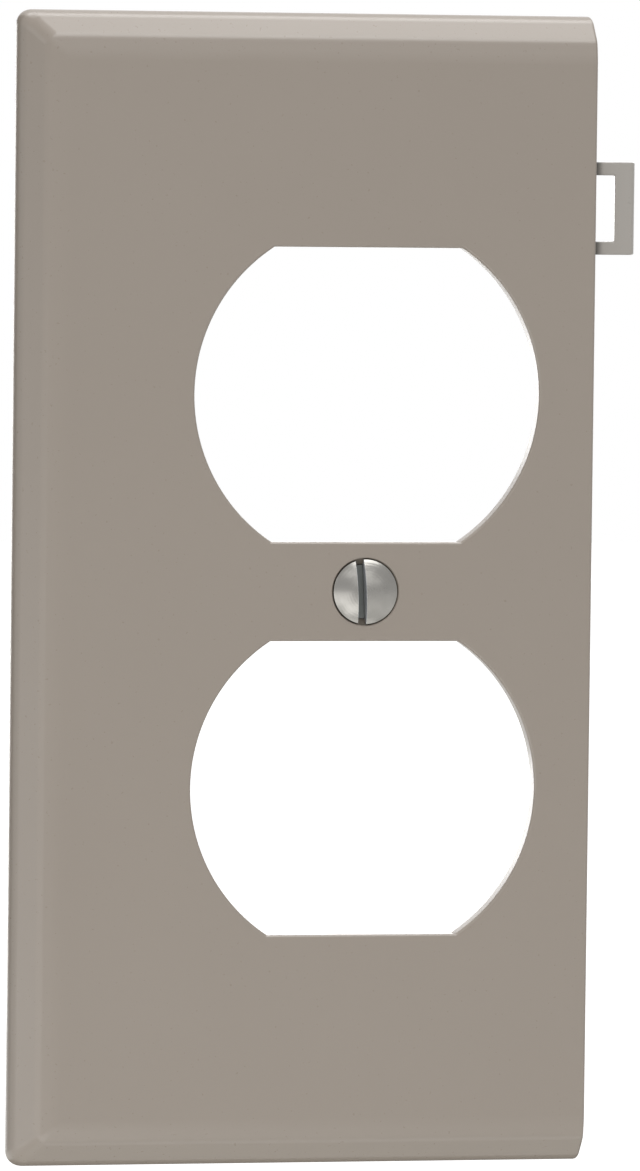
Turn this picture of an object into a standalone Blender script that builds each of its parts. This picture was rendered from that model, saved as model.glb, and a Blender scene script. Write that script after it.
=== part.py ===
"""End section of a sectional duplex wall plate, with its cover screw.

Metres, +Z up. The wall is the plane y = 0, the front faces -Y, and the origin lies on the screw's axis.
The left, top and bottom edges are bevelled. The right edge is cut straight, to butt against a neighbour
section that is turned half round: the loop of each section then hooks over the tongue of the other.
"""

from math import atan2, cos, radians, sin, tan

import bmesh
import bpy
from mathutils import Matrix, Vector

MM = 0.001

# Outline of the plate
HEIGHT = 114.3 * MM
OUTER_REACH = 34.93 * MM  # screw axis to the bevelled outer edge
DEVICE_SPACING = 46.02 * MM  # between the centre lines of two ganged devices
DEPTH = 4.2 * MM  # wall to face

# Bevelled rim, from the wall outwards
SIDE_WALL_HEIGHT = 1.5 * MM
CREST_INSET = 2.5 * MM  # how far the steep bevel draws in
CREST_DROP = 0.3 * MM  # crest below the face
SLOPE_INSET = 1.8 * MM  # width of the shallow slope between crest and face
SHOULDER_SOFTNESS = 1.1 * MM  # rounding of the outer corners and of the shoulder
SHOULDER_STEPS = 4

# Walls
FACE_WALL = 1.8 * MM
SIDE_WALL = 1.7 * MM
JOINING_RIB = 2.0 * MM

# Openings for the outlet's two faces: round, with a flat above and below
OPENING_DIAMETER = 34.82 * MM
OPENING_FLATS = 29.17 * MM
BRIDGE = 9.81 * MM  # strip left between the two openings
OPENING_STEPS = 96

# Cover screw: oval head, 82 degree seat, plain shank
HEAD_DIAMETER = 6.45 * MM
HEAD_EDGE = 0.15 * MM  # straight rim between dome and cone
HEAD_ANGLE = radians(82)
DOME_HEIGHT = 0.95 * MM
SLOT_WIDTH = 0.8 * MM
SLOT_DEPTH = 1.7 * MM  # below the top of the dome
SHANK_DIAMETER = 3.4 * MM
SCREW_LENGTH = 12.7 * MM  # head rim to tip
TIP_CHAMFER = 0.5 * MM
TURNED_STEPS = 48
DOME_STEPS = 6

# Inside of the plate
BOSS_WALL = 0.55 * MM  # boss beyond the mouth of the screw seat
BOSS_HEIGHT = 1.1 * MM
STIFFENER_WIDTH = 1.2 * MM
CROSS_STIFFENER_HEIGHT = 1.0 * MM
UPRIGHT_STIFFENER_HEIGHT = 0.9 * MM
STIFFENER_FROM_END = 10.5 * MM  # from the top or bottom edge
STIFFENER_FROM_SIDE = 9.5 * MM  # from the outer edge

# Joining loop, and the tongue that takes a neighbour's loop
LOOP_LEVEL = 38.1 * MM  # loop above the screw, tongue below it
LOOP_HEIGHT = 9.2 * MM
LOOP_ARM = 1.3 * MM
LOOP_BAR = 1.9 * MM
LOOP_THICKNESS = 1.35 * MM
LOOP_DROP = 0.45 * MM  # loop behind the inside of the face
LOOP_LEAD_IN = 0.6 * MM  # chamfer on the bar's outer edges
LOOP_PLAY = 0.6 * MM  # window wider than the rib it hooks over

# Fits
CLEARANCE = 0.3 * MM
OVERLAP = 0.5 * MM  # how far joined shapes run into each other
RUNOUT = 5.0 * MM  # how far cutters run past what they cut

JOIN_REACH = DEVICE_SPACING / 2
BEVEL_RISE = DEPTH - SIDE_WALL_HEIGHT - CREST_DROP
BEVEL_SLOPE = atan2(BEVEL_RISE, CREST_INSET)
CAVITY_ROOF = FACE_WALL - DEPTH  # y of the inside of the face
OPENING_CENTRE = (BRIDGE + OPENING_FLATS) / 2
HALF_ANGLE = HEAD_ANGLE / 2
HEAD_RADIUS = HEAD_DIAMETER / 2
SHANK_RADIUS = SHANK_DIAMETER / 2
SEAT_RADIUS = HEAD_RADIUS + CLEARANCE / cos(HALF_ANGLE)
BORE_RADIUS = SHANK_RADIUS + CLEARANCE
LOOP_WINDOW = JOINING_RIB + LOOP_PLAY
LOOP_FRONT = CAVITY_ROOF + LOOP_DROP
FRONT_TURN = Matrix.Rotation(radians(90), 4, "X")  # turns a piece made along +Z to face the front


def clear_scene():
    """Remove every object, so that the script can run again in the same file."""
    for obj in list(bpy.data.objects):
        bpy.data.objects.remove(obj, do_unlink=True)


def new_collection(name):
    """Add a collection to the scene."""
    collection = bpy.data.collections.new(name)
    bpy.context.scene.collection.children.link(collection)
    return collection


def new_material(name, colour, roughness, metallic):
    """A Principled BSDF of one linear colour."""
    material = bpy.data.materials.new(name)
    material.use_nodes = True
    shader = material.node_tree.nodes["Principled BSDF"]
    shader.inputs["Base Color"].default_value = (*colour, 1)
    shader.inputs["Roughness"].default_value = roughness
    shader.inputs["Metallic"].default_value = metallic
    return material


def new_object(name, bm, collection):
    """Turn a bmesh into an object with its normals pointing out."""
    bmesh.ops.recalc_face_normals(bm, faces=bm.faces)
    mesh = bpy.data.meshes.new(name)
    bm.to_mesh(mesh)
    bm.free()
    obj = bpy.data.objects.new(name, mesh)
    collection.objects.link(obj)
    return obj


def new_cutter(name, bm):
    """An object that shapes others and isn't part of the product."""
    obj = new_object(name, bm, CUTTERS)
    obj.hide_render = True
    obj.display_type = "WIRE"
    return obj


def combine(target, tool, operation):
    """Cut target with tool, or join tool to it."""
    modifier = target.modifiers.new(f"{operation.lower()} {tool.name}", "BOOLEAN")
    modifier.object = tool
    modifier.operation = operation


def finish(obj, material, smooth_angle):
    """Give a piece its material, and smooth shading up to an angle."""
    obj.data.materials.append(material)
    obj.data.shade_smooth()
    obj.data.set_sharp_from_angle(angle=smooth_angle)


def block(low, high):
    """A box between two corners."""
    bm = bmesh.new()
    bmesh.ops.create_cube(bm, size=1)
    low = Vector(low)
    high = Vector(high)
    bmesh.ops.scale(bm, verts=bm.verts, vec=high - low)
    bmesh.ops.translate(bm, verts=bm.verts, vec=(low + high) / 2)
    return bm


def trim(bm, point, normal):
    """Cut away what lies beyond a plane, and close the cut."""
    geometry = bm.verts[:] + bm.edges[:] + bm.faces[:]
    cut = bmesh.ops.bisect_plane(bm, geom=geometry, plane_co=point, plane_no=normal, clear_outer=True)
    edges = [item for item in cut["geom_cut"] if isinstance(item, bmesh.types.BMEdge)]
    bmesh.ops.holes_fill(bm, edges=edges, sides=0)


def bevelled_body(inset, back, side_height, slopes, softness):
    """A block on the wall whose front is drawn in on its left, top and bottom, cut straight on the right.

    inset is measured inwards from the outline. Each (inset, rise) of slopes draws the front in further.
    """
    left = inset - OUTER_REACH
    right = JOIN_REACH + RUNOUT + sum(width for width, _ in slopes)
    top = HEIGHT / 2 - inset
    bm = block((left, -side_height, -top), (right, back, top))
    front = min(bm.faces, key=lambda face: face.calc_center_median().y)
    for width, rise in slopes:
        bmesh.ops.inset_region(bm, faces=[front], thickness=width, depth=rise, use_even_offset=True)
    if softness:
        soften_shoulder(bm, left, top, side_height, slopes[0], softness)
    return bm


def soften_shoulder(bm, left, top, side_height, bevel, softness):
    """Round the outer corners and the edge where the side wall turns into the bevel."""
    width, rise = bevel
    nudge = CLEARANCE / 10
    crest = -side_height - rise

    def on_corner(vert):
        drawn_in = max(0, -side_height - vert.co.y) * width / rise
        on_side = abs(vert.co.x - left - drawn_in) < nudge
        return on_side and abs(abs(vert.co.z) - top + drawn_in) < nudge and vert.co.y > crest - nudge

    def on_shoulder(edge):
        return all(abs(vert.co.y + side_height) < nudge for vert in edge.verts)

    corners = [edge for edge in bm.edges if all(on_corner(vert) for vert in edge.verts)]
    shoulder = [edge for edge in bm.edges if on_shoulder(edge)]
    edges = list(set(corners + shoulder))
    bmesh.ops.bevel(bm, geom=edges, offset=softness, segments=SHOULDER_STEPS, profile=0.5, affect="EDGES")


def plate_blank():
    """The moulding's outside: side walls, steep bevel, crest, shallow slope and flat face."""
    slopes = ((CREST_INSET, BEVEL_RISE), (SLOPE_INSET, CREST_DROP))
    bm = bevelled_body(0, 0, SIDE_WALL_HEIGHT, slopes, SHOULDER_SOFTNESS)
    trim(bm, (JOIN_REACH, 0, 0), (1, 0, 0))
    return bm


def cavity():
    """The hollow behind the face. Its sloping walls run parallel to the steep bevel, a wall inside it."""
    shoulder = SIDE_WALL_HEIGHT + SIDE_WALL * (sin(BEVEL_SLOPE) - 1) / cos(BEVEL_SLOPE)
    rise = -CAVITY_ROOF - shoulder
    bm = bevelled_body(SIDE_WALL, RUNOUT, shoulder, ((rise / tan(BEVEL_SLOPE), rise),), 0)
    trim(bm, (JOIN_REACH - JOINING_RIB, 0, 0), (1, 0, 0))
    return bm


def opening(level):
    """A cylinder through the face, cut flat above and below."""
    bm = bmesh.new()
    radius = OPENING_DIAMETER / 2
    bmesh.ops.create_cone(
        bm, cap_ends=True, segments=OPENING_STEPS, radius1=radius, radius2=radius, depth=2 * (DEPTH + RUNOUT)
    )
    bmesh.ops.transform(bm, verts=bm.verts, matrix=FRONT_TURN)
    for side in (1, -1):
        trim(bm, (0, 0, side * OPENING_FLATS / 2), (0, 0, side))
    bmesh.ops.translate(bm, verts=bm.verts, vec=(0, 0, level))
    return bm


def turned(name, profile, collection):
    """A shape turned about the screw's axis, from (radius, height above the face) points, top to bottom."""
    bm = bmesh.new()
    verts = [bm.verts.new((radius, 0, height)) for radius, height in profile]
    for upper, lower in zip(verts, verts[1:]):
        bm.edges.new((upper, lower))
    obj = new_object(name, bm, collection)
    obj.location = (0, -DEPTH, 0)
    obj.rotation_euler = FRONT_TURN.to_euler()
    screw = obj.modifiers.new("turn", "SCREW")
    screw.steps = TURNED_STEPS
    screw.render_steps = TURNED_STEPS
    screw.use_merge_vertices = True
    screw.merge_threshold = 0.001 * MM
    return obj


def screw_seat():
    """The countersunk seat and the clearance hole, one clearance larger than the screw."""
    cone_end = -HEAD_EDGE - (SEAT_RADIUS - BORE_RADIUS) / tan(HALF_ANGLE)
    profile = (
        (0, RUNOUT),
        (SEAT_RADIUS, RUNOUT),
        (SEAT_RADIUS, -HEAD_EDGE),
        (BORE_RADIUS, cone_end),
        (BORE_RADIUS, -DEPTH - RUNOUT),
        (0, -DEPTH - RUNOUT),
    )
    seat = turned("screw_seat", profile, CUTTERS)
    seat.hide_render = True
    seat.display_type = "WIRE"
    return seat


def screw_boss():
    """The pad behind the face that carries the screw seat."""
    bm = bmesh.new()
    radius = SEAT_RADIUS + BOSS_WALL
    height = BOSS_HEIGHT + OVERLAP
    bmesh.ops.create_cone(
        bm, cap_ends=True, segments=TURNED_STEPS, radius1=radius, radius2=radius, depth=height
    )
    bmesh.ops.transform(bm, verts=bm.verts, matrix=FRONT_TURN)
    bmesh.ops.translate(bm, verts=bm.verts, vec=(0, CAVITY_ROOF - OVERLAP + height / 2, 0))
    return bm


def cross_stiffener(level):
    """A low rib across the hollow, from inside the outer wall, clear of its bevel, to the joining rib."""
    half = STIFFENER_WIDTH / 2
    front = CAVITY_ROOF - OVERLAP
    bevel_inset = (-front - SIDE_WALL_HEIGHT) / tan(BEVEL_SLOPE)
    low = (bevel_inset + OVERLAP - OUTER_REACH, front, level - half)
    high = (JOIN_REACH - JOINING_RIB + OVERLAP, CAVITY_ROOF + CROSS_STIFFENER_HEIGHT, level + half)
    return block(low, high)


def upright_stiffener(reach):
    """A low rib along the wide margin beside the openings, between the two cross ribs."""
    middle = STIFFENER_FROM_SIDE - OUTER_REACH
    half = STIFFENER_WIDTH / 2
    low = (middle - half, CAVITY_ROOF - OVERLAP, -reach)
    high = (middle + half, CAVITY_ROOF + UPRIGHT_STIFFENER_HEIGHT, reach)
    return block(low, high)


def joining_loop():
    """The loop on the joining edge: two arms and a bar with eased outer edges, open towards the plate."""
    half = LOOP_HEIGHT / 2
    reach = LOOP_WINDOW + LOOP_BAR
    low = (JOIN_REACH - OVERLAP, LOOP_FRONT, LOOP_LEVEL - half)
    high = (JOIN_REACH + reach, LOOP_FRONT + LOOP_THICKNESS, LOOP_LEVEL + half)
    bm = block(low, high)

    def on_bar_edge(edge):
        one, other = (vert.co for vert in edge.verts)
        return min(one.x, other.x) > JOIN_REACH + LOOP_WINDOW and abs(one.z - other.z) > LOOP_ARM

    eased = [edge for edge in bm.edges if on_bar_edge(edge)]
    bmesh.ops.bevel(bm, geom=eased, offset=LOOP_LEAD_IN, segments=1, profile=0.5, affect="EDGES")
    return bm


def loop_window():
    """What the loop leaves open, for a neighbour's tongue."""
    half = LOOP_HEIGHT / 2 - LOOP_ARM
    low = (JOIN_REACH - OVERLAP - RUNOUT, LOOP_FRONT - RUNOUT, LOOP_LEVEL - half)
    high = (JOIN_REACH + LOOP_WINDOW, LOOP_FRONT + LOOP_THICKNESS + RUNOUT, LOOP_LEVEL + half)
    return block(low, high)


def arm_slot(side):
    """A slot in the joining rib that lets one arm of a neighbour's loop reach past the tongue."""
    inner = LOOP_HEIGHT / 2 - LOOP_ARM - CLEARANCE
    outer = LOOP_HEIGHT / 2 + CLEARANCE
    levels = sorted((-LOOP_LEVEL + side * inner, -LOOP_LEVEL + side * outer))
    low = (JOIN_REACH - JOINING_RIB - RUNOUT, LOOP_FRONT - CLEARANCE, levels[0])
    high = (JOIN_REACH + RUNOUT, RUNOUT, levels[1])
    return block(low, high)


def build_plate(material):
    """The moulded section: blank, hollow, inner ribs, loop, openings, seat and slots."""
    plate = new_object("end_section_plate", plate_blank(), PARTS)
    combine(plate, new_cutter("hollow", cavity()), "DIFFERENCE")

    rib_level = HEIGHT / 2 - STIFFENER_FROM_END
    for name, level in (("upper", rib_level), ("lower", -rib_level)):
        combine(plate, new_cutter(f"{name}_cross_stiffener", cross_stiffener(level)), "UNION")
    combine(plate, new_cutter("upright_stiffener", upright_stiffener(rib_level)), "UNION")
    combine(plate, new_cutter("screw_boss", screw_boss()), "UNION")

    loop = new_cutter("joining_loop", joining_loop())
    combine(loop, new_cutter("loop_window", loop_window()), "DIFFERENCE")
    combine(plate, loop, "UNION")

    for name, level in (("upper", OPENING_CENTRE), ("lower", -OPENING_CENTRE)):
        combine(plate, new_cutter(f"{name}_opening", opening(level)), "DIFFERENCE")
    combine(plate, screw_seat(), "DIFFERENCE")
    for name, side in (("upper", 1), ("lower", -1)):
        combine(plate, new_cutter(f"{name}_arm_slot", arm_slot(side)), "DIFFERENCE")
    finish(plate, material, radians(25))
    return plate


def dome_profile():
    """Points of the head's dome, from its top to its rim."""
    radius = (HEAD_RADIUS**2 + DOME_HEIGHT**2) / (2 * DOME_HEIGHT)
    centre = DOME_HEIGHT - radius
    sweep = atan2(HEAD_RADIUS, -centre)
    angles = (sweep * step / DOME_STEPS for step in range(DOME_STEPS + 1))
    return [(radius * sin(angle), centre + radius * cos(angle)) for angle in angles]


def build_screw(material):
    """The cover screw: domed head with a slot, cone, shank and chamfered tip."""
    cone_end = -HEAD_EDGE - (HEAD_RADIUS - SHANK_RADIUS) / tan(HALF_ANGLE)
    profile = dome_profile() + [
        (HEAD_RADIUS, -HEAD_EDGE),
        (SHANK_RADIUS, cone_end),
        (SHANK_RADIUS, TIP_CHAMFER - SCREW_LENGTH),
        (SHANK_RADIUS - TIP_CHAMFER, -SCREW_LENGTH),
        (0, -SCREW_LENGTH),
    ]
    screw = turned("cover_screw", profile, PARTS)
    floor = DOME_HEIGHT - SLOT_DEPTH
    low = (-SLOT_WIDTH / 2, -HEAD_DIAMETER, floor)
    slot = new_cutter("screwdriver_slot", block(low, (SLOT_WIDTH / 2, HEAD_DIAMETER, floor + RUNOUT)))
    slot.parent = screw
    combine(screw, slot, "DIFFERENCE")
    finish(screw, material, radians(40))
    return screw


clear_scene()
PARTS = new_collection("sectional_wall_plate")
CUTTERS = new_collection("shaping_tools")
build_plate(new_material("grey_moulded_nylon", (0.32, 0.28, 0.25), 0.45, 0.0))
build_screw(new_material("grey_plated_steel", (0.42, 0.42, 0.38), 0.35, 1.0))
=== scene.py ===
"""Looks of an end section of a sectional duplex wall plate and of its cover screw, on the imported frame.

Metres, +Z up. The wall is the plane y = 0, the front faces -Y, and the origin lies on the screw's axis.
"""

import logging
import math
from collections.abc import Callable, Iterator, Sequence
from contextlib import contextmanager
from dataclasses import dataclass, field
from enum import Enum

import bmesh
import bpy
from mathutils import Matrix, Vector


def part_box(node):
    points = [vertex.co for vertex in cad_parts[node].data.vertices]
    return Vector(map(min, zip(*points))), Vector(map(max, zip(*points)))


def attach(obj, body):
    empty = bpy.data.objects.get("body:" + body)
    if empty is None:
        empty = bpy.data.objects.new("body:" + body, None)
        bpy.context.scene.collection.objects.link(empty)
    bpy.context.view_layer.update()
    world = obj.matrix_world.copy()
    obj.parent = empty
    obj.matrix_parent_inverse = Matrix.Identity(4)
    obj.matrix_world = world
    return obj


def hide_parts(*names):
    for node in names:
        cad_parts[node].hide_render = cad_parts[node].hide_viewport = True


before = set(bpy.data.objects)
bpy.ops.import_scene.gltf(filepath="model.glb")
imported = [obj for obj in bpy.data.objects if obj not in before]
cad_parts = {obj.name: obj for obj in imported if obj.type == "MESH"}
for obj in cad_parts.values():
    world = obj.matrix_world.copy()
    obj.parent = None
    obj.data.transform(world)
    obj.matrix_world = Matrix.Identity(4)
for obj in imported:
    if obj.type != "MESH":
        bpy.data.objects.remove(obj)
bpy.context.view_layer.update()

MM = 0.001
NUDGE = 0.01 * MM  # how far apart two places count as the same
WELD = 0.001 * MM  # corners closer than this are merged
RUNOUT = 5.0 * MM  # how far cutters run past what they cut
OVERLAP = 0.5 * MM  # how far joined shapes run into each other
FACING = 0.9  # least share of a face's normal along the direction that it faces
WAVE_PERIOD = math.tau / 20  # length of one wave of a wave texture of scale 1
WHITE = "#FFFFFF"
LOG = logging.getLogger("wall_plate")

Object = bpy.types.Object
Tree = bpy.types.NodeTree
Socket = bpy.types.NodeSocket
Point = Sequence[float]
Profile = Sequence[tuple[float, float]]
CornerTest = Callable[[list[Vector], Vector], bool]


class Cut(Enum):
    """How one solid is combined with another."""

    AWAY = "DIFFERENCE"
    JOIN = "UNION"
    COMMON = "INTERSECT"


class Pick(Enum):
    """What is selected in edit mode."""

    EDGES = "EDGE"
    FACES = "FACE"


# Modelling


def deselect() -> None:
    """Go back to object mode, with nothing selected."""
    if bpy.context.object and bpy.context.object.mode != "OBJECT":
        bpy.ops.object.mode_set(mode="OBJECT")
    bpy.ops.object.select_all(action="DESELECT")


def activate(obj: Object) -> None:
    """Make one object the active and only selected one.

    Args:
        obj: the object to work on.
    """
    deselect()
    obj.select_set(True)
    bpy.context.view_layer.objects.active = obj


@contextmanager
def editing(obj: Object) -> Iterator[None]:
    """Edit mode on one object, for as long as a with block lasts.

    Args:
        obj: the mesh object to edit.

    Yields:
        Nothing: everything is selected when the block starts.
    """
    activate(obj)
    bpy.ops.object.mode_set(mode="EDIT")
    bpy.ops.mesh.select_mode(type="VERT")
    bpy.ops.mesh.select_all(action="SELECT")
    yield
    bpy.ops.object.mode_set(mode="OBJECT")


def pick(obj: Object, kind: Pick, test: CornerTest) -> None:
    """Select the edges or faces that pass a test, and nothing else.

    Args:
        obj: an object in edit mode.
        kind: edges or faces.
        test: takes an element's corners and, for a face, its normal, and says whether it is selected.
    """
    bpy.ops.mesh.select_all(action="DESELECT")
    bpy.ops.mesh.select_mode(type=kind.value)
    mesh = bmesh.from_edit_mesh(obj.data)
    elements = mesh.edges if kind is Pick.EDGES else mesh.faces
    for element in elements:
        normal = element.normal if kind is Pick.FACES else Vector()
        if test([vert.co for vert in element.verts], normal):
            element.select_set(True)
    mesh.select_flush_mode()
    bmesh.update_edit_mesh(obj.data)


def faces_front(corners: list[Vector], normal: Vector) -> bool:
    """Whether a face looks away from the wall."""
    return normal.y < -FACING


def settle(name: str) -> Object:
    """Name the primitive that was just added, and move its place into its mesh.

    Args:
        name: the object's name.

    Returns:
        The object.
    """
    obj = bpy.context.object
    obj.name = name
    obj.data.name = name
    bpy.ops.object.transform_apply(location=True, rotation=True, scale=True)
    return obj


def add_block(name: str, low: Point, high: Point) -> Object:
    """A box between two corners.

    Args:
        name: the object's name.
        low: its lowest corner.
        high: its highest corner.

    Returns:
        The new object.
    """
    deselect()
    size = Vector(high) - Vector(low)
    bpy.ops.mesh.primitive_cube_add(size=1, location=Vector(low) + size / 2, scale=size)
    return settle(name)


def add_drum(name: str, radius: float, low: float, high: float, level: float, steps: int) -> Object:
    """A cylinder that lies along Y.

    Args:
        name: the object's name.
        radius: its radius.
        low: y of its front end.
        high: y of its back end.
        level: z of its axis.
        steps: facets round it.

    Returns:
        The new object.
    """
    deselect()
    bpy.ops.mesh.primitive_cylinder_add(
        vertices=steps,
        radius=radius,
        depth=high - low,
        location=(0, (low + high) / 2, level),
        rotation=(math.radians(90), 0, 0),
    )
    return settle(name)


def add_turned(name: str, profile: Profile, steps: int) -> Object:
    """A solid turned about the screw's axis: its profile is drawn point by point and spun.

    Args:
        name: the object's name.
        profile: (radius, y) points, from the axis round to the axis again.
        steps: facets round the axis.

    Returns:
        The new object.
    """
    deselect()
    bpy.ops.mesh.primitive_plane_add(size=MM)
    obj = settle(name)
    with editing(obj):
        bpy.ops.mesh.merge(type="CENTER")
        draw_line([Vector((radius, y, 0)) for radius, y in profile])
        bpy.ops.mesh.select_all(action="SELECT")
        bpy.ops.mesh.spin(steps=steps, angle=math.tau, center=(0, 0, 0), axis=(0, 1, 0))
        bpy.ops.mesh.select_all(action="SELECT")
        bpy.ops.mesh.remove_doubles(threshold=WELD)
        bpy.ops.mesh.normals_make_consistent(inside=False)
    return obj


def draw_line(points: Sequence[Vector]) -> None:
    """Draw a line through points, from the one selected vertex at the origin.

    Args:
        points: the corners of the line.
    """
    here = points[0]
    bpy.ops.transform.translate(value=here)
    for there in points[1:]:
        bpy.ops.mesh.extrude_vertices_move(TRANSFORM_OT_translate={"value": there - here})
        here = there


def trim(obj: Object, point: Point, normal: Point) -> None:
    """Cut away what lies beyond a plane, and close the cut.

    Args:
        obj: an object in edit mode; not used.
        point: a point on the plane.
        normal: points to what is cut away.
    """
    bpy.ops.mesh.select_all(action="SELECT")
    bpy.ops.mesh.bisect(plane_co=point, plane_no=normal, use_fill=True, clear_outer=True)


def apply_modifier(obj: Object, kind: str, **settings: object) -> None:
    """Add a modifier and apply it.

    Args:
        obj: the object to change.
        kind: the modifier's type.
        settings: its settings by name.
    """
    activate(obj)
    modifier = obj.modifiers.new(kind.lower(), kind)
    for name, value in settings.items():
        setattr(modifier, name, value)
    bpy.ops.object.modifier_apply(modifier=modifier.name)


def combine(target: Object, tool: Object, cut: Cut) -> None:
    """Combine a tool with a target, and use the tool up.

    Args:
        target: the object that stays.
        tool: the object that shapes it.
        cut: what is done with it.
    """
    apply_modifier(target, "BOOLEAN", object=tool, operation=cut.value, solver="MANIFOLD")
    bpy.data.objects.remove(tool, do_unlink=True)


def weld(obj: Object) -> None:
    """Merge corners that a cut left all but on top of each other.

    Args:
        obj: the object to clean.
    """
    with editing(obj):
        bpy.ops.mesh.remove_doubles(threshold=WELD)


def soften(obj: Object, width: float, segments: int, angle: float) -> None:
    """Round every edge that is sharper than an angle.

    Args:
        obj: the object to round.
        width: how far the rounding reaches from the edge.
        segments: facets across it.
        angle: the least angle between two faces, in degrees.
    """
    apply_modifier(
        obj, "BEVEL", width=width, segments=segments, limit_method="ANGLE", angle_limit=math.radians(angle)
    )


def smooth(obj: Object, angle: float) -> None:
    """Shade smooth below an angle, and keep wide faces flat right up to their edges.

    Args:
        obj: the finished piece.
        angle: the least angle that stays a crisp edge, in degrees.
    """
    activate(obj)
    bpy.ops.object.shade_smooth_by_angle(angle=math.radians(angle))
    apply_modifier(obj, "WEIGHTED_NORMAL", mode="FACE_AREA", weight=100, keep_sharp=True)


# Finishes


def linear(colour: str) -> tuple[float, float, float, float]:
    """Turn an sRGB hex colour into the linear colour that shaders take.

    Args:
        colour: a hash and six hex digits.

    Returns:
        Red, green, blue and an alpha of 1.
    """
    channels = [int(colour[place : place + 2], 16) / 255 for place in (1, 3, 5)]
    bent = [value / 12.92 if value <= 0.04045 else ((value + 0.055) / 1.055) ** 2.4 for value in channels]
    return (*bent, 1.0)


def per_metre(size_mm: float) -> float:
    """Texture scale at which a pattern repeats about every size_mm millimetres."""
    return 1 / (size_mm * MM)


def add_node(
    tree: Tree, kind: str, inputs: dict[str | int, object], **settings: object
) -> bpy.types.Node:
    """Add a node, set it up and link its inputs.

    Args:
        tree: the node tree to add to.
        kind: the node's type.
        inputs: for each input, by name or number, the output socket linked to it or the value it is set to.
        settings: the node's own settings.

    Returns:
        The new node.
    """
    node = tree.nodes.new(kind)
    for name, value in settings.items():
        setattr(node, name, value)
    for key, source in inputs.items():
        if isinstance(source, Socket):
            tree.links.new(source, node.inputs[key])
        else:
            node.inputs[key].default_value = source
    return node


def calculate(tree: Tree, operation: str, *terms: object) -> Socket:
    """Work out a number.

    Args:
        tree: the node tree to add to.
        operation: what a Math node does with the terms.
        terms: output sockets or numbers, in the order of the node's inputs.

    Returns:
        The output that gives the number.
    """
    return add_node(tree, "ShaderNodeMath", dict(enumerate(terms)), operation=operation).outputs[0]


def ramp(
    tree: Tree,
    value: Socket,
    span: tuple[float, float] = (0.0, 1.0),
    levels: tuple[float, float] = (0.0, 1.0),
    course: str = "SMOOTHSTEP",
) -> Socket:
    """Go from one level to another while a value crosses a span.

    Args:
        tree: the node tree to add to.
        value: the output that crosses the span.
        span: its values at the two ends.
        levels: the results there.
        course: how a Map Range node goes from one to the other.

    Returns:
        The output that gives the result.
    """
    ends = {"From Min": span[0], "From Max": span[1], "To Min": levels[0], "To Max": levels[1]}
    node = add_node(tree, "ShaderNodeMapRange", {"Value": value, **ends}, interpolation_type=course)
    return node.outputs[0]


def blend(tree: Tree, share: object, under: object, over: object) -> Socket:
    """Lay one colour over another.

    Args:
        tree: the node tree to add to.
        share: how much of the upper colour shows, from 0 to 1.
        under: the lower colour, as an output or a linear colour.
        over: the upper colour, likewise.

    Returns:
        The output that gives the mixed colour.
    """
    colours = {"Factor": share, 6: under, 7: over}
    return add_node(tree, "ShaderNodeMix", colours, data_type="RGBA").outputs[2]


def noise(tree: Tree, place: Socket, size_mm: float, detail: float) -> Socket:
    """Cloudy noise.

    Args:
        tree: the node tree to add to.
        place: the output that gives a point's place.
        size_mm: about how wide a cloud is, in millimetres.
        detail: how many finer layers are added.

    Returns:
        An output from 0 to 1.
    """
    pattern = {"Vector": place, "Scale": per_metre(size_mm), "Detail": detail}
    return add_node(tree, "ShaderNodeTexNoise", pattern).outputs[0]


def relief(tree: Tree, height: Socket, depth_mm: float) -> Socket:
    """Fine relief of a surface.

    Args:
        tree: the node tree to add to.
        height: an output from 0 to 1.
        depth_mm: how deep the relief is, in millimetres.

    Returns:
        The output that gives the normal.
    """
    bump = {"Height": height, "Strength": 1.0, "Distance": depth_mm * MM}
    return add_node(tree, "ShaderNodeBump", bump).outputs[0]


def surface(tree: Tree, inputs: dict[str | int, object]) -> None:
    """End a material in one Principled surface.

    Args:
        tree: the node tree to add to.
        inputs: what the surface's inputs are linked or set to.
    """
    shader = add_node(tree, "ShaderNodeBsdfPrincipled", inputs)
    add_node(tree, "ShaderNodeOutputMaterial", {"Surface": shader.outputs[0]})


def new_tree(owner: bpy.types.ID) -> Tree:
    """Give a material or a world an empty node tree.

    Args:
        owner: the material or world.

    Returns:
        Its node tree.
    """
    owner.use_nodes = True
    owner.node_tree.nodes.clear()
    return owner.node_tree


def rays_that_see_white(tree: Tree) -> Socket:
    """Tell the rays that show the white surroundings from those that light the object.

    Args:
        tree: the node tree to add to.

    Returns:
        An output that is 1 for camera, glossy and transmission rays, and 0 for the rest.
    """
    ray = add_node(tree, "ShaderNodeLightPath", {})
    seen = ray.outputs["Is Camera Ray"]
    for kind in ("Is Glossy Ray", "Is Transmission Ray"):
        seen = calculate(tree, "MAXIMUM", seen, ray.outputs[kind])
    return seen


def dress(piece: Object, material: bpy.types.Material) -> None:
    """Give a piece one material all over.

    Args:
        piece: the object to dress.
        material: its finish.
    """
    piece.data.materials.clear()
    piece.data.materials.append(material)


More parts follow.
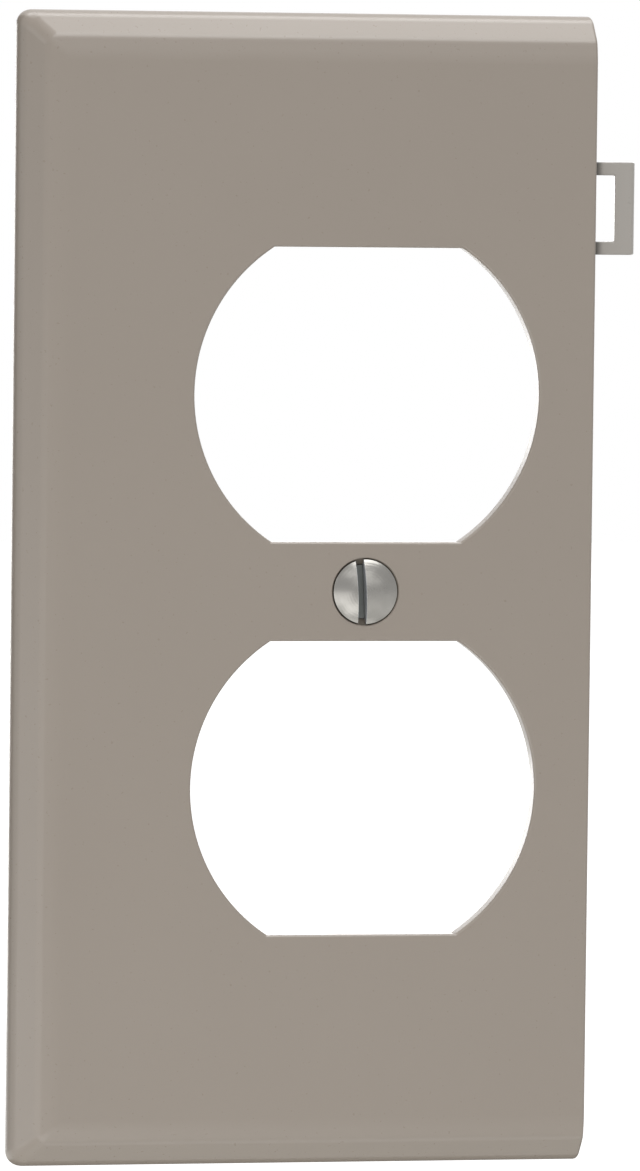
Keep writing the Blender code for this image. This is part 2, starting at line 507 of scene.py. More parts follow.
@dataclass(frozen=True)
class MouldedNylon:
    """Warm grey nylon, straight from a fine spark-eroded mould.

    It gives the eye an even, opaque satin: soft broad highlights on the bevels, a grain just too fine to
    feel, and faint clouds where the melt flowed and cooled. Painted shade darkens the screw seat, a painted
    shadow darkens the roots of the loop, and the thin loop is painted paler, as if lit through.
    """

    colour: str = "#9C9288"
    cloud_colour: str = "#998F85"
    # Painted light and shade: a paler loop as if lit through, a shaded screw seat, a shadow at the loop's
    # roots
    backlit_colour: str = "#ACA7A1"
    painted_shade_colour: str = "#746C62"
    root_shadow_colour: str = "#4C4841"
    roughness: tuple[float, float] = (0.25, 0.33)
    ior: float = 1.53
    cloud_mm: float = 18.0
    grain_mm: float = 0.35  # the real grain is about 0.05 mm, drawn as coarse as the render can show
    grain_depth_mm: float = 0.004

    def material(self, seat_radius: float, seat_end: float, join: float, backlit_from: float) -> bpy.types.Material:
        """Build the material.

        Args:
            seat_radius: how far from the screw's axis the seat's painted shade reaches.
            seat_end: y as far as which the painted shade reaches.
            join: x of the joining edge, beyond which the loop's roots get a painted shadow.
            backlit_from: x from which the thin loop is fully painted pale, as if lit through.

        Returns:
            The new material.
        """
        material = bpy.data.materials.new("moulded_satin_nylon")
        tree = new_tree(material)
        place = add_node(tree, "ShaderNodeTexCoord", {}).outputs["Object"]
        axes = add_node(tree, "ShaderNodeSeparateXYZ", {0: place}).outputs
        clouds = noise(tree, place, self.cloud_mm, detail=4.0)
        tint = blend(tree, clouds, linear(self.colour), linear(self.cloud_colour))
        # Painted shadow: the plate's edge shades the loop, darkest at its roots
        on_loop = calculate(tree, "GREATER_THAN", axes["X"], join + NUDGE)
        tint = blend(tree, on_loop, tint, linear(self.root_shadow_colour))
        # Painted light: paler towards the bar, as if light came through the thin loop
        root_end = (2 * join + backlit_from) / 3
        thin = ramp(tree, axes["X"], span=(root_end, backlit_from))
        tint = blend(tree, thin, tint, linear(self.backlit_colour))
        # Painted shade: the screw seat round the head is painted dark
        flat = add_node(tree, "ShaderNodeVectorMath", {0: place, 1: (1.0, 0.0, 1.0)}, operation="MULTIPLY")
        radius = add_node(tree, "ShaderNodeVectorMath", {0: flat.outputs[0]}, operation="LENGTH")
        in_seat = calculate(tree, "LESS_THAN", radius.outputs["Value"], seat_radius - NUDGE)
        in_front = calculate(tree, "LESS_THAN", axes["Y"], seat_end)
        seat_shade = calculate(tree, "MULTIPLY", in_seat, in_front)
        tint = blend(tree, seat_shade, tint, linear(self.painted_shade_colour))
        grain = noise(tree, place, self.grain_mm, detail=2.0)
        inputs = {
            "Base Color": tint,
            "Roughness": ramp(tree, grain, levels=self.roughness, course="LINEAR"),
            "Normal": relief(tree, grain, self.grain_depth_mm),
            "IOR": self.ior,
        }
        surface(tree, inputs)
        return material


@dataclass(frozen=True)
class PlatedSteel:
    """Cold-headed steel with a thin dull nickel plating.

    It gives the eye a soft grey metal: the dome mirrors the lamps as blurred patches, broken by the fine
    rings of the heading die and by cloudy plating. The walls of the sawn slot are matt and painted pale as
    painted light, and painted shade darkens them towards its floor.
    """

    colour: str = "#8E8C88"
    stain_colour: str = "#82807C"
    # Painted light on the slot's walls, and painted shade towards its floor
    slot_wall_light_colour: str = "#C6C8CA"
    painted_shade_colour: str = "#646664"
    roughness: tuple[float, float] = (0.20, 0.30)
    slot_roughness: float = 0.55
    stain_mm: float = 0.9
    ring_mm: float = 0.28  # the real marks are finer, drawn as coarse as the render can show
    ring_depth_mm: float = 0.003

    def material(
        self, slot_turn: float, slot_middle: float, slot_half: float, slot_top: float, slot_floor: float
    ) -> bpy.types.Material:
        """Build the material.

        Args:
            slot_turn: how far the slot is turned about the screw's axis, in degrees.
            slot_middle: x of the slot's middle before that turn.
            slot_half: half of the slot's width.
            slot_top: y at which the slot starts to darken.
            slot_floor: y of the slot's floor.

        Returns:
            The new material.
        """
        material = bpy.data.materials.new("plated_steel")
        tree = new_tree(material)
        place = add_node(tree, "ShaderNodeTexCoord", {}).outputs["Object"]
        stain = noise(tree, place, self.stain_mm, detail=5.0)
        plating = blend(tree, stain, linear(self.colour), linear(self.stain_colour))
        angle = math.radians(-slot_turn)
        turned = add_node(
            tree, "ShaderNodeVectorRotate", {"Vector": place, "Angle": angle}, rotation_type="Y_AXIS"
        )
        axes = add_node(tree, "ShaderNodeSeparateXYZ", {0: turned.outputs[0]}).outputs
        above = calculate(tree, "LESS_THAN", axes["Y"], slot_floor + NUDGE)
        beside = calculate(tree, "COMPARE", axes["X"], slot_middle, slot_half + NUDGE)
        in_slot = calculate(tree, "MULTIPLY", beside, above)
        # Painted shade, darker towards the slot's floor
        deep = ramp(tree, axes["Y"], span=(slot_top, slot_floor))
        slot_shade = calculate(tree, "MULTIPLY", in_slot, deep)
        # Painted light: the slot's walls are painted pale
        slot_lit = blend(tree, in_slot, plating, linear(self.slot_wall_light_colour))
        polish = ramp(tree, stain, levels=self.roughness, course="LINEAR")
        gloss = add_node(
            tree,
            "ShaderNodeMix",
            {"Factor": in_slot, 2: polish, 3: self.slot_roughness},
            data_type="FLOAT",
        )
        ring_scale = per_metre(self.ring_mm) * WAVE_PERIOD
        rings = add_node(
            tree,
            "ShaderNodeTexWave",
            {"Vector": place, "Scale": ring_scale, "Distortion": 1.5, "Detail": 2.0},
            wave_type="RINGS",
            rings_direction="Y",
        )
        inputs = {
            "Base Color": blend(tree, slot_shade, slot_lit, linear(self.painted_shade_colour)),
            "Metallic": 1.0,
            "Roughness": gloss.outputs[0],
            "Normal": relief(tree, rings.outputs["Fac"], self.ring_depth_mm),
        }
        surface(tree, inputs)
        return material


@dataclass(frozen=True)
class SweepPaper:
    """Matt pale background paper: it holds a soft shadow near the object, and fades to white further off."""

    colour: str = "#D8D8D4"
    roughness: float = 0.9
    glow: tuple[float, float] = (0.35, 1.0)  # near the object and far off
    fade: tuple[float, float] = (0.12, 0.5)  # metres from the floor's middle

    def material(self) -> bpy.types.Material:
        """Build the material.

        Returns:
            The new material.
        """
        material = bpy.data.materials.new("matt_sweep_paper")
        tree = new_tree(material)
        paper = add_node(
            tree, "ShaderNodeBsdfPrincipled", {"Base Color": linear(self.colour), "Roughness": self.roughness}
        )
        place = add_node(tree, "ShaderNodeTexCoord", {}).outputs["Object"]
        distance = add_node(tree, "ShaderNodeVectorMath", {0: place}, operation="LENGTH")
        strength = ramp(tree, distance.outputs["Value"], span=self.fade, levels=self.glow)
        glow = add_node(tree, "ShaderNodeEmission", {"Color": linear(WHITE), "Strength": strength})
        lifted = add_node(tree, "ShaderNodeAddShader", {0: paper.outputs[0], 1: glow.outputs[0]})
        shown = add_node(
            tree,
            "ShaderNodeMixShader",
            {0: rays_that_see_white(tree), 1: paper.outputs[0], 2: lifted.outputs[0]},
        )
        add_node(tree, "ShaderNodeOutputMaterial", {"Surface": shown.outputs[0]})
        return material


@dataclass(frozen=True)
class FlagCloth:
    """Dark matt cloth of a studio flag: the plate's edges mirror it as the dark line that sets them off."""

    colour: str = "#1C1C1C"
    roughness: float = 1.0

    def material(self) -> bpy.types.Material:
        """Build the material.

        Returns:
            The new material.
        """
        material = bpy.data.materials.new("dark_flag_cloth")
        surface(new_tree(material), {"Base Color": linear(self.colour), "Roughness": self.roughness})
        return material


# Pieces


@dataclass
class EndSectionPlate:
    """The moulded end section: a shell bevelled on three sides, with openings, a screw seat and a loop."""

    finish: MouldedNylon = field(default_factory=MouldedNylon)
    node: str = "end_section_plate"
    body: str = "plate"
    slot: str = "plate_plastic"

    join_reach: float = 23.01 * MM
    side_wall_height: float = 1.5 * MM
    crest_inset: float = 2.5 * MM
    crest_drop: float = 0.3 * MM
    slope_inset: float = 1.8 * MM
    corner_softness: float = 1.5 * MM
    shoulder_softness: float = 1.1 * MM
    slope_mitre_share: float = 0.3  # of the shoulders' rounding, on the mitres of the shallow slope
    crest_softness: float = 0.45 * MM
    face_softness: float = 0.6 * MM
    joining_softness: float = 0.3 * MM

    face_wall: float = 1.8 * MM
    side_wall: float = 1.7 * MM
    joining_rib: float = 2.0 * MM
    inner_softness: float = 0.4 * MM

    opening_diameter: float = 34.82 * MM
    opening_flats: float = 29.17 * MM
    bridge: float = 9.81 * MM
    lip_radius: float = 0.28 * MM
    lip_flare: float = 1.1  # width of the cutter in front of the face, as a share of the opening's
    opening_steps: int = 160

    seat_radius: float = 3.35 * MM
    seat_edge: float = 0.15 * MM
    seat_angle: float = 82.0  # degrees
    seat_mouth: float = 0.08 * MM
    bore_radius: float = 2.0 * MM
    boss_wall: float = 0.55 * MM
    boss_height: float = 1.1 * MM
    turned_steps: int = 96

    stiffener_width: float = 1.2 * MM
    cross_stiffener_height: float = 1.0 * MM
    upright_stiffener_height: float = 0.9 * MM
    stiffener_from_end: float = 10.5 * MM
    stiffener_from_side: float = 9.5 * MM

    loop_level: float = 38.1 * MM
    loop_height: float = 9.2 * MM
    loop_arm: float = 1.3 * MM
    loop_bar: float = 1.9 * MM
    loop_thickness: float = 1.35 * MM
    loop_drop: float = 0.45 * MM
    loop_lead_in: float = 0.6 * MM
    loop_play: float = 0.6 * MM
    loop_draft: float = 0.25 * MM
    loop_softness: float = 0.15 * MM
    clearance: float = 0.3 * MM

    def __post_init__(self) -> None:
        """Take the overall sizes from the frame, and work out the rest."""
        low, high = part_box(self.node)
        self.left = low.x
        self.depth = -low.y
        self.top = high.z
        self.roof = self.face_wall - self.depth
        self.bevel_rise = self.depth - self.side_wall_height - self.crest_drop
        self.bevel_slope = math.atan2(self.bevel_rise, self.crest_inset)
        self.opening_level = (self.bridge + self.opening_flats) / 2
        self.loop_front = self.roof + self.loop_drop
        self.loop_window = self.joining_rib + self.loop_play

    def build(self) -> Object:
        """Model the plate and dress it.

        Returns:
            The finished piece.
        """
        plate = self.outside()
        combine(plate, self.hollow(), Cut.AWAY)
        for rib in self.ribs():
            combine(plate, rib, Cut.JOIN)
        combine(plate, self.loop(), Cut.JOIN)
        for slot in self.arm_slots():
            combine(plate, slot, Cut.AWAY)
        for level in (self.opening_level, -self.opening_level):
            combine(plate, self.opening(level), Cut.AWAY)
        combine(plate, self.screw_seat(), Cut.AWAY)
        smooth(plate, angle=30)
        finish = self.finish.material(
            seat_radius=self.seat_radius,
            seat_end=self.roof,
            join=self.join_reach,
            backlit_from=self.join_reach + self.loop_window / 2,
        )
        dress(plate, finish)
        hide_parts(self.node)
        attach(plate, self.body)
        return plate

    def outside(self) -> Object:
        """The outer form: side walls, steep bevel, crest, shallow slope and face, all with eased edges.

        Returns:
            A solid block of that form.
        """
        right = self.join_reach + RUNOUT + self.crest_inset + self.slope_inset
        low = (self.left, -self.side_wall_height, -self.top)
        plate = add_block("moulded_end_section_plate", low, (right, 0, self.top))
        with editing(plate):
            pick(plate, Pick.FACES, faces_front)
            bpy.ops.mesh.inset(thickness=self.crest_inset, depth=self.bevel_rise)
            bpy.ops.mesh.inset(thickness=self.slope_inset, depth=self.crest_drop)
        self.weigh_edges(plate)
        apply_modifier(
            plate,
            "BEVEL",
            width=self.corner_softness,
            segments=6,
            limit_method="WEIGHT",
            use_clamp_overlap=False,
        )
        with editing(plate):
            trim(plate, (self.join_reach, 0, 0), (1, 0, 0))
            pick(plate, Pick.EDGES, self.on_joining_edge)
            bpy.ops.mesh.bevel(offset=self.joining_softness, segments=3, affect="EDGES")
        return plate

    def weigh_edges(self, plate: Object) -> None:
        """Mark how strongly each outer edge is rounded, as a share of the corners' rounding.

        Args:
            plate: the outer form with sharp edges.
        """
        crest = -self.side_wall_height - self.bevel_rise
        shoulder = self.shoulder_softness / self.corner_softness
        slope_mitre = self.slope_mitre_share * shoulder
        rings = {
            -self.side_wall_height: shoulder,
            crest: self.crest_softness / self.corner_softness,
            -self.depth: self.face_softness / self.corner_softness,
        }
        with editing(plate):
            mesh = bmesh.from_edit_mesh(plate.data)
            weights = mesh.edges.layers.float.new("bevel_weight_edge")
            for edge in mesh.edges:
                one, other = (vert.co for vert in edge.verts)
                front, back = sorted((one.y, other.y))
                if back > -NUDGE and front < -NUDGE:
                    edge[weights] = 1.0
                elif abs(front - back) > NUDGE:
                    edge[weights] = shoulder if front > crest - NUDGE else slope_mitre
                for y, weight in rings.items():
                    if abs(front - y) < NUDGE and abs(back - y) < NUDGE:
                        edge[weights] = weight
            bmesh.update_edit_mesh(plate.data)

    def on_joining_edge(self, corners: list[Vector], normal: Vector) -> bool:
        """Whether an edge borders the straight cut, other than at the wall."""
        at_cut = all(corner.x > self.join_reach - NUDGE for corner in corners)
        return at_cut and min(corner.y for corner in corners) < -NUDGE

    def hollow(self) -> Object:
        """What is hollow behind the face, its sloping walls one wall inside the steep bevel.

        Returns:
            The cutter.
        """
        slope = self.bevel_slope
        shoulder = self.side_wall_height + self.side_wall * (math.sin(slope) - 1) / math.cos(slope)
        rise = -self.roof - shoulder
        low = (self.left + self.side_wall, -shoulder, self.side_wall - self.top)
        right = self.join_reach + RUNOUT
        hollow = add_block("hollow", low, (right, RUNOUT, self.top - self.side_wall))
        with editing(hollow):
            pick(hollow, Pick.FACES, faces_front)
            bpy.ops.mesh.inset(thickness=rise / math.tan(slope), depth=rise)
            trim(hollow, (self.join_reach - self.joining_rib, 0, 0), (1, 0, 0))
        soften(hollow, self.inner_softness, segments=3, angle=25)
        return hollow

    def ribs(self) -> list[Object]:
        """The low stiffening ribs behind the face, and the pad that carries the screw seat.

        Returns:
            Solids to join to the shell.
        """
        half = self.stiffener_width / 2
        front = self.roof - OVERLAP
        inner = self.join_reach - self.joining_rib + OVERLAP
        bevel_inset = (-front - self.side_wall_height) / math.tan(self.bevel_slope)
        outer = self.left + bevel_inset + OVERLAP
        reach = self.top - self.stiffener_from_end
        across = [
            add_block(
                "cross_rib",
                (outer, front, level - half),
                (inner, self.roof + self.cross_stiffener_height, level + half),
            )
            for level in (reach, -reach)
        ]
        middle = self.left + self.stiffener_from_side
        upright = add_block(
            "upright_rib",
            (middle - half, front, -reach),
            (middle + half, self.roof + self.upright_stiffener_height, reach),
        )
        boss = add_drum(
            "screw_boss",
            self.seat_radius + self.boss_wall,
            low=front,
            high=self.roof + self.boss_height,
            level=0,
            steps=self.turned_steps,
        )
        return [*across, upright, boss]

    def loop(self) -> Object:
        """The joining loop: two arms and a bar with eased outer edges, open towards the plate.

        Returns:
            The solid to join to the plate.
        """
        half = self.loop_height / 2
        reach = self.loop_window + self.loop_bar
        back = self.loop_front + self.loop_thickness
        loop = add_block(
            "joining_loop",
            (self.join_reach - OVERLAP, self.loop_front, self.loop_level - half),
            (self.join_reach + reach, back, self.loop_level + half),
        )
        with editing(loop):
            pick(loop, Pick.EDGES, self.on_bar_edge)
            bpy.ops.mesh.bevel(offset=self.loop_lead_in, segments=2, affect="EDGES")
        half -= self.loop_arm
        window = add_block(
            "loop_window",
            (self.join_reach - RUNOUT, self.loop_front - RUNOUT, self.loop_level - half),
            (self.join_reach + self.loop_window, back + RUNOUT, self.loop_level + half),
        )
        combine(loop, window, Cut.AWAY)
        with editing(loop):
            pick(loop, Pick.EDGES, self.on_window_edge)
            bpy.ops.transform.translate(value=(-self.loop_draft, 0, 0))
        soften(loop, self.loop_softness, segments=2, angle=40)
        return loop

    def on_bar_edge(self, corners: list[Vector], normal: Vector) -> bool:
        """Whether an edge is one of the two long outer edges of the loop's bar."""
        (x, _, z), (other_x, _, other_z) = corners
        return min(x, other_x) > self.join_reach + self.loop_window and abs(z - other_z) > self.loop_arm

    def on_window_edge(self, corners: list[Vector], normal: Vector) -> bool:
        """Whether an edge is the front one between the loop's window and its bar."""
        spot = Vector((self.join_reach + self.loop_window, self.loop_front))
        return all((corner.xy - spot).length < NUDGE for corner in corners)

    def arm_slots(self) -> list[Object]:
        """The two slots in the joining rib that let a neighbour's loop reach past the tongue.

        Returns:
            The cutters.
        """
        inner = self.loop_height / 2 - self.loop_arm - self.clearance
        outer = self.loop_height / 2 + self.clearance
        slots = []
        for side in (1, -1):
            below, above = sorted((side * inner - self.loop_level, side * outer - self.loop_level))
            low = (self.join_reach - self.joining_rib - RUNOUT, self.loop_front - self.clearance, below)
            slots.append(add_block("arm_slot", low, (self.join_reach + RUNOUT, RUNOUT, above)))
        return slots

    def opening(self, level: float) -> Object:
        """An opening for one outlet face: round with two flats, flared at the front to leave a rounded lip.

        Args:
            level: z of its centre.

        Returns:
            The cutter.
        """
        front = -self.depth - NUDGE
        cutter = add_drum("opening", self.opening_diameter / 2, front, RUNOUT, level, self.opening_steps)
        with editing(cutter):
            for side in (1, -1):
                trim(cutter, (0, 0, level + side * self.opening_flats / 2), (0, 0, side))
            pick(cutter, Pick.FACES, faces_front)
            bpy.ops.mesh.extrude_region()
            flare = (self.lip_flare, 1, self.lip_flare)
            bpy.ops.transform.resize(value=flare, center_override=(0, front, level))
            bpy.ops.mesh.extrude_region_move(TRANSFORM_OT_translate={"value": (0, -RUNOUT, 0)})

            def on_lip(corners: list[Vector], normal: Vector) -> bool:
                """Whether an edge lies where the bore meets the flare."""
                flat = all(abs(corner.y - front) < NUDGE for corner in corners)
                return flat and all(self.inside_opening(corner, level) for corner in corners)

            pick(cutter, Pick.EDGES, on_lip)
            bpy.ops.mesh.bevel(offset=self.lip_radius, segments=5, affect="EDGES")
        return cutter

    def inside_opening(self, corner: Vector, level: float) -> bool:
        """Whether a point lies no further out than an opening's own outline.

        Args:
            corner: the point.
            level: z of the opening's centre.

        Returns:
            True for a point inside or on the outline.
        """
        height = corner.z - level
        round_enough = math.hypot(corner.x, height) < self.opening_diameter / 2 + NUDGE
        return round_enough and abs(height) < self.opening_flats / 2 + NUDGE

    def screw_seat(self) -> Object:
        """The countersunk screw seat with its clearance hole, and a softly broken mouth.

        Returns:
            The cutter.
        """
        half_angle = math.radians(self.seat_angle / 2)
        front = -self.depth
        cone_end = front + self.seat_edge + (self.seat_radius - self.bore_radius) / math.tan(half_angle)
        profile = [
            (0, front - RUNOUT),
            (self.seat_radius + self.seat_mouth, front - RUNOUT),
            (self.seat_radius + self.seat_mouth, front),
            (self.seat_radius, front + self.seat_mouth),
            (self.seat_radius, front + self.seat_edge),
            (self.bore_radius, cone_end),
            (self.bore_radius, RUNOUT),
            (0, RUNOUT),
        ]
        return add_turned("screw_seat", profile, self.turned_steps)


@dataclass
class CoverScrew:
    """The slotted oval-head cover screw, with its rolled thread."""

    finish: PlatedSteel = field(default_factory=PlatedSteel)
    node: str = "cover_screw"
    body: str = "screw"
    slot: str = "screw_metal"

    face: float = -4.2 * MM  # y of the plate's face, where the head's rim lies
    head_diameter: float = 6.45 * MM
    head_edge: float = 0.15 * MM
    head_angle: float = 82.0  # degrees
    dome_height: float = 0.92 * MM
    dome_steps: int = 14
    rim_softness: float = 0.05 * MM
    rim_steps: int = 4
    slot_width: float = 0.85 * MM
    slot_depth: float = 1.7 * MM
    slot_offset: float = -0.475 * MM
    slot_turn: float = -2.9  # degrees about +Y
    # depth over which painted shade darkens the slot towards its floor
    shade_height: float = 0.35 * MM
    length: float = 12.7 * MM
    thread_diameter: float = 3.4 * MM
    thread_pitch: float = 0.794 * MM
    thread_depth: float = 0.44 * MM
    crest_width: float = 0.12 * MM
    flank_angle: float = 30.0  # degrees, half of the thread's angle
    plain_neck: float = 0.5 * MM
    tip_taper: float = 0.6 * MM
    turned_steps: int = 96
    thread_steps: int = 48

    def __post_init__(self) -> None:
        """Work out radii and the end of the head's cone."""
        self.head_radius = self.head_diameter / 2
        self.thread_radius = self.thread_diameter / 2
        self.root_radius = self.thread_radius - self.thread_depth
        cone_height = (self.head_radius - self.root_radius) / math.tan(math.radians(self.head_angle / 2))
        self.cone_end = self.face + self.head_edge + cone_height
        self.tip = self.face + self.length
        self.slot_floor = self.face - self.dome_height + self.slot_depth

    def build(self) -> Object:
        """Model the screw and dress it.

        Returns:
            The finished piece.
        """
        screw = self.head_and_core()
        combine(screw, self.driver_slot(), Cut.AWAY)
        combine(screw, self.thread(), Cut.JOIN)
        weld(screw)
        smooth(screw, angle=35)
        finish = self.finish.material(
            slot_turn=self.slot_turn,
            slot_middle=self.slot_offset,
            slot_half=self.slot_width / 2,
            slot_top=self.slot_floor - self.shade_height,
            slot_floor=self.slot_floor,
        )
        dress(screw, finish)
        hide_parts(self.node)
        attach(screw, self.body)
        return screw

    def dome(self) -> list[tuple[float, float]]:
        """Points of the head's dome.

        Returns:
            (radius, y) points from its top to just short of its rim.
        """
        radius = (self.head_radius**2 + self.dome_height**2) / (2 * self.dome_height)
        centre = self.face - self.dome_height + radius
        sweep = math.asin(self.head_radius / radius)
        angles = [sweep * step / self.dome_steps for step in range(self.dome_steps)]
        return [(radius * math.sin(angle), centre - radius * math.cos(angle)) for angle in angles]

    def rim(self) -> list[tuple[float, float]]:
        """Points of the rounded edge round the dome.

        Returns:
            (radius, y) points from the dome to the straight part of the rim.
        """
        corner = Vector((self.head_radius, self.face))
        start = corner + (Vector(self.dome()[-1]) - corner).normalized() * self.rim_softness
        end = corner + Vector((0, self.rim_softness))
        shares = [step / self.rim_steps for step in range(self.rim_steps + 1)]
        return [tuple(start.lerp(corner, share).lerp(corner.lerp(end, share), share)) for share in shares]

    def head_and_core(self) -> Object:
        """The turned blank: dome, rim, cone, and a core as thick as the thread's root.

        Returns:
            The new object.
        """
        profile = [
            *self.dome(),
            *self.rim(),
            (self.head_radius, self.face + self.head_edge),
            (self.root_radius, self.cone_end),
            (self.root_radius, self.tip - self.tip_taper),
            (self.root_radius - self.tip_taper / 2, self.tip),
            (0, self.tip),
        ]
        return add_turned("slotted_cover_screw", profile, self.turned_steps)

    def driver_slot(self) -> Object:
        """The sawn slot across the head.

        Returns:
            The cutter.
        """
        half = self.slot_width / 2
        top = self.face - self.dome_height
        cutter = add_block(
            "driver_slot",
            (self.slot_offset - half, top - RUNOUT, -self.head_diameter),
            (self.slot_offset + half, self.slot_floor, self.head_diameter),
        )
        with editing(cutter):
            bpy.ops.transform.rotate(
                value=math.radians(-self.slot_turn), orient_axis="Y", center_override=(0, 0, 0)
            )
        return cutter

    def thread(self) -> Object:
        """The thread's ridge: its section is swept round the core by a Screw modifier and trimmed to a taper.

        Returns:
            The solid to join to the core.
        """
        start = self.cone_end + self.plain_neck
        turns = int((self.tip - start) / self.thread_pitch)
        inner = self.root_radius - self.thread_depth / 4
        foot = self.crest_width / 2 + (self.thread_radius - inner) * math.tan(math.radians(self.flank_angle))
        section = [
            Vector((inner, start - foot, 0)),
            Vector((self.thread_radius, start - self.crest_width / 2, 0)),
            Vector((self.thread_radius, start + self.crest_width / 2, 0)),
            Vector((inner, start + foot, 0)),
        ]
        deselect()
        bpy.ops.mesh.primitive_plane_add(size=MM)
        ridge = settle("thread_ridge")
        with editing(ridge):
            bpy.ops.mesh.merge(type="CENTER")
            draw_line(section)
            bpy.ops.mesh.select_all(action="SELECT")
            bpy.ops.mesh.edge_face_add()
            bpy.ops.mesh.delete(type="ONLY_FACE")
        apply_modifier(
            ridge,
            "SCREW",
            axis="Y",
            angle=math.tau,
            screw_offset=self.thread_pitch,
            iterations=turns,
            steps=self.thread_steps,
            render_steps=self.thread_steps,
            use_merge_vertices=False,
        )
        with editing(ridge):
            bpy.ops.mesh.fill_holes(sides=0)
            bpy.ops.mesh.select_all(action="SELECT")
            bpy.ops.mesh.normals_make_consistent(inside=False)
            # A quarter of a facet, so that no edge of the ridge lies on one of the core
            bpy.ops.transform.rotate(
                value=math.tau / self.turned_steps / 4, orient_axis="Y", center_override=(0, 0, 0)
            )
        # The ridge runs out into the core at both ends
        envelope = [
            (0, start),
            (inner, start),
            (self.thread_radius + NUDGE, start + self.thread_depth),
            (self.thread_radius + NUDGE, self.tip - 2 * self.tip_taper),
            (self.root_radius - self.tip_taper / 2, self.tip - self.tip_taper / 2),
            (0, self.tip - self.tip_taper / 2),
        ]
        combine(ridge, add_turned("thread_envelope", envelope, self.turned_steps), Cut.COMMON)
        return ridge


# Set


def add_panel(name: str, place: Point, tilt: float, size: float, material: bpy.types.Material) -> Object:
    """A flat square of the set.

    Args:
        name: the object's name.
        place: its middle.
        tilt: how far it is turned about Y from lying flat, in degrees.
        size: length of its side.
        material: what it is made of.

    Returns:
        The new object.
    """
    deselect()
    bpy.ops.mesh.primitive_plane_add(size=size, location=place, rotation=(0, math.radians(tilt), 0))
    panel = bpy.context.object
    panel.name = name
    dress(panel, material)
    return panel


@dataclass(frozen=True)
class Softbox:
    """A soft rectangular lamp that faces the screw."""

    name: str
    place: tuple[float, float, float]
    size: tuple[float, float]
    power: float  # watts

    def build(self) -> None:
        """Hang the lamp, unseen by the camera."""
        light = bpy.data.lights.new(self.name, "AREA")
        light.shape = "RECTANGLE"
        light.size, light.size_y = self.size
        light.energy = self.power
        lamp = bpy.data.objects.new(self.name, light)
        lamp.location = self.place
        lamp.rotation_euler = (-Vector(self.place)).to_track_quat("-Z", "Y").to_euler()
        lamp.visible_camera = False
        bpy.context.scene.collection.objects.link(lamp)


@dataclass(frozen=True)
class Flag:
    """A dark square behind the object, which shows only in its reflections."""

    name: str
    place: tuple[float, float, float]
    tilt: float  # degrees about Y, from lying flat
    size: float = 0.5

    def build(self, cloth: bpy.types.Material) -> None:
        """Hang the flag so that only reflections see it.

        Args:
            cloth: what it is made of.
        """
        flag = add_panel(self.name, self.place, self.tilt, self.size, cloth)
        flag.visible_camera = False
        flag.visible_diffuse = False
        flag.visible_shadow = False


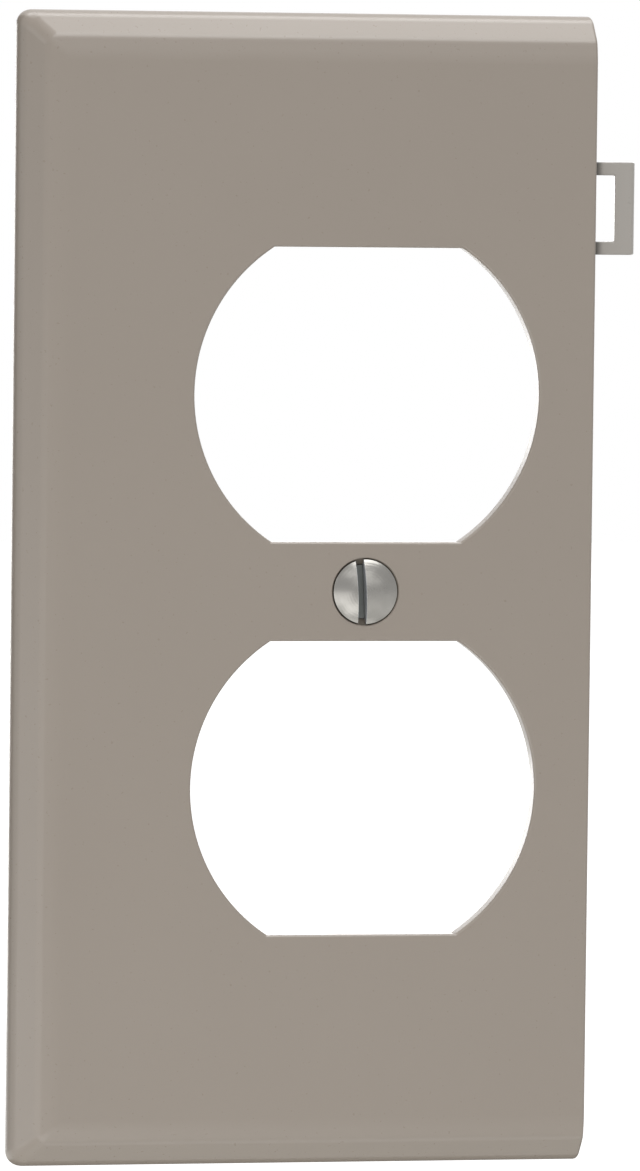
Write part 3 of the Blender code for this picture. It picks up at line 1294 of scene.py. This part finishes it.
@dataclass
class Studio:
    """A pale floor under white surroundings, softboxes on every side but the right, and dark flags."""

    paper: SweepPaper = field(default_factory=SweepPaper)
    cloth: FlagCloth = field(default_factory=FlagCloth)
    softboxes: tuple[Softbox, ...] = (
        Softbox("rear_softbox", (0.0, 0.95, 0.0), (0.8, 0.3), 2.5),
        Softbox("back_softbox", (0.0, 0.3, 0.85), (0.9, 0.3), 3.68),
        Softbox("overhead_softbox", (0.17, -0.08, 0.9), (0.5, 0.25), 1.26),
        Softbox("high_softbox", (0.17, -0.42, 0.8), (0.8, 0.35), 3.7),
        Softbox("upper_front_softbox", (-0.05, -0.75, 0.48), (0.9, 0.2), 0.62),
        Softbox("front_softbox", (0.2, -0.85, 0.27), (0.9, 0.2), 0.44),
        Softbox("left_softbox", (-0.9, -0.25, 0.35), (0.5, 0.3), 0.6),
        Softbox("low_left_softbox", (-0.5, -0.33, -0.17), (1.0, 0.26), 1.06),
        Softbox("low_front_softbox", (-0.07, -0.27, -0.2), (0.18, 0.13), 0.11),
        Softbox("under_softbox", (0.0, -0.12, -0.27), (0.3, 0.1), 0.1),
    )
    flags: tuple[Flag, ...] = (
        Flag("left_flag", (-0.3, 0.42, 0.15), tilt=90),
        Flag("low_flag", (0.1, 0.3, -0.2), tilt=0),
    )
    floor_level: float = -300 * MM
    floor_size: float = 12.0
    ambient: float = 0.2

    def build(self) -> None:
        """Lay the floor, hang the flags and the softboxes, and colour the surroundings."""
        floor_place = (0.0, 0.0, self.floor_level)
        add_panel("studio_floor", floor_place, 0, self.floor_size, self.paper.material())
        cloth = self.cloth.material()
        for flag in self.flags:
            flag.build(cloth)
        for softbox in self.softboxes:
            softbox.build()
        self.surroundings()

    def surroundings(self) -> None:
        """White surroundings to the camera and in reflections, softer as a light on the object."""
        world = bpy.data.worlds.new("white_surroundings")
        bpy.context.scene.world = world
        tree = new_tree(world)
        light = add_node(tree, "ShaderNodeBackground", {"Color": linear(WHITE), "Strength": self.ambient})
        backdrop = add_node(tree, "ShaderNodeBackground", {"Color": linear(WHITE), "Strength": 1.0})
        mixed = add_node(
            tree,
            "ShaderNodeMixShader",
            {0: rays_that_see_white(tree), 1: light.outputs[0], 2: backdrop.outputs[0]},
        )
        add_node(tree, "ShaderNodeOutputWorld", {"Surface": mixed.outputs[0]})


@dataclass
class PhotoCamera:
    """The photograph's viewpoint: a long lens, a little to the left of the plate and above its middle."""

    yaw: float = 11.708  # degrees, as are the next two
    pitch: float = 3.1205
    roll: float = 0.666
    distance: float = 883.98 * MM
    target: Point = (-3.740 * MM, 0.0, 0.3915 * MM)
    focal_pixels: float = 8895.8
    image_height: int = 1171
    sensor: float = 36.0  # mm, along the image's long side

    def build(self) -> None:
        """Place the camera and make it the scene's own."""
        yaw, pitch, roll = (math.radians(angle) for angle in (self.yaw, self.pitch, self.roll))
        ahead = Vector(
            (math.sin(yaw) * math.cos(pitch), math.cos(yaw) * math.cos(pitch), -math.sin(pitch))
        )
        level = ahead.cross((0, 0, 1)).normalized()
        upright = level.cross(ahead)
        right = math.cos(roll) * level + math.sin(roll) * upright
        above = math.cos(roll) * upright - math.sin(roll) * level
        turn = Matrix((right, above, -ahead)).transposed()
        lens = bpy.data.cameras.new("photo_camera")
        lens.sensor_width = self.sensor
        lens.lens = self.sensor * self.focal_pixels / self.image_height
        camera = bpy.data.objects.new("photo_camera", lens)
        camera.location = Vector(self.target) - ahead * self.distance
        camera.rotation_euler = turn.to_euler()
        bpy.context.scene.collection.objects.link(camera)
        bpy.context.scene.camera = camera


def main() -> None:
    """Build the set, then the pieces."""
    logging.basicConfig(level=logging.INFO, format="%(message)s")
    bpy.context.scene.view_settings.view_transform = "Standard"
    PhotoCamera().build()
    Studio().build()
    for assembly in (EndSectionPlate(), CoverScrew()):
        piece = assembly.build()
        LOG.info("%s: %d faces, rides on %s", piece.name, len(piece.data.polygons), assembly.body)


if __name__ == "__main__":
    main()
